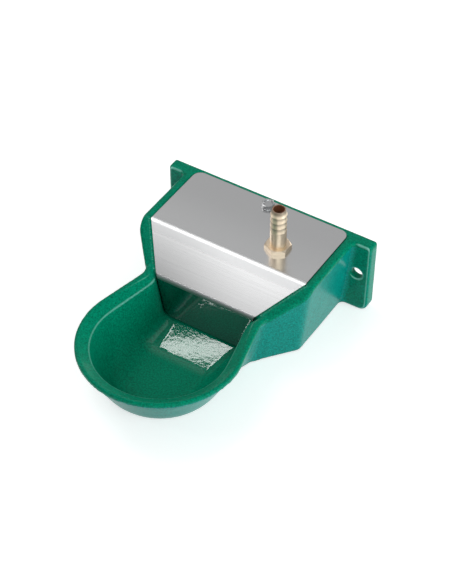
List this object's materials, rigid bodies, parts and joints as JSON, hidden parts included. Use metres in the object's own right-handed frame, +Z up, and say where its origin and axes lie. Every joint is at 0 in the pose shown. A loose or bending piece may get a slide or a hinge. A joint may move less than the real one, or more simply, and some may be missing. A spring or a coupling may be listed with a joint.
{
  "type": "small animal waterer",
  "caption": "Wall-mounted cast drinking bowl with a float valve hidden under a folded steel cover and a brass hose tail on top.",
  "frame": {"origin": "midway between the two wall holes, on the wall face", "axes": "+Y into the wall, +X to the right seen from the front, +Z up; the bowl reaches out toward -Y"},
  "size_m": [0.2398, 0.293, 0.1384],
  "materials": {
    "enamel": "gloss",
    "stainless": "brushed",
    "brass": "machined",
    "zinc": "satin",
    "valve_plastic": "satin",
    "float_plastic": "satin",
    "seal": "matt"
  },
  "bodies": {
    "casting": {"bowl_casting": "enamel"},
    "cover": {"cover_plate": "stainless", "hose_tail": "brass", "tail_gasket": "seal", "valve_body": "valve_plastic", "valve_nozzle": "brass", "pivot_pin": "stainless", "split_pin": "stainless"},
    "screw_set": {"cover_screw": "zinc", "cover_washer": "zinc"},
    "float_arm": {"float_lever": "brass", "float": "float_plastic", "float_stud": "stainless", "float_nut": "stainless", "float_washer": "stainless"},
    "wing_nut": {"wing_nut": "brass"},
    "plunger": {"plunger": "valve_plastic", "plunger_seal": "seal"}
  },
  "joints": [
    {"name": "cover_lift", "type": "slide", "parent": "casting", "child": "cover", "axis": [0, 0, 1], "range_m": [0, 0.1]},
    {"name": "screw_out", "type": "slide", "parent": "cover", "child": "screw_set", "axis": [0, 0, 1], "range_m": [0, 0.03]},
    {"name": "float_swing", "type": "hinge", "parent": "cover", "child": "float_arm", "pos_m": [0.054, -0.0599, 0.002], "axis": [0, 1, 0], "range_deg": [0, 11.45]},
    {"name": "wing_turn", "type": "hinge", "parent": "float_arm", "child": "wing_nut", "pos_m": [-0.032, -0.0599, 0.009], "axis": [0, 0, 1], "continuous": true},
    {"name": "plunger_rise", "type": "slide", "parent": "cover", "child": "plunger", "axis": [0, 0, 1], "range_m": [0, 0.0028]}
  ],
  "couplings": [
    {"joint": "plunger_rise", "follows": "float_swing", "m_per_rad": 0.0138}
  ]
}
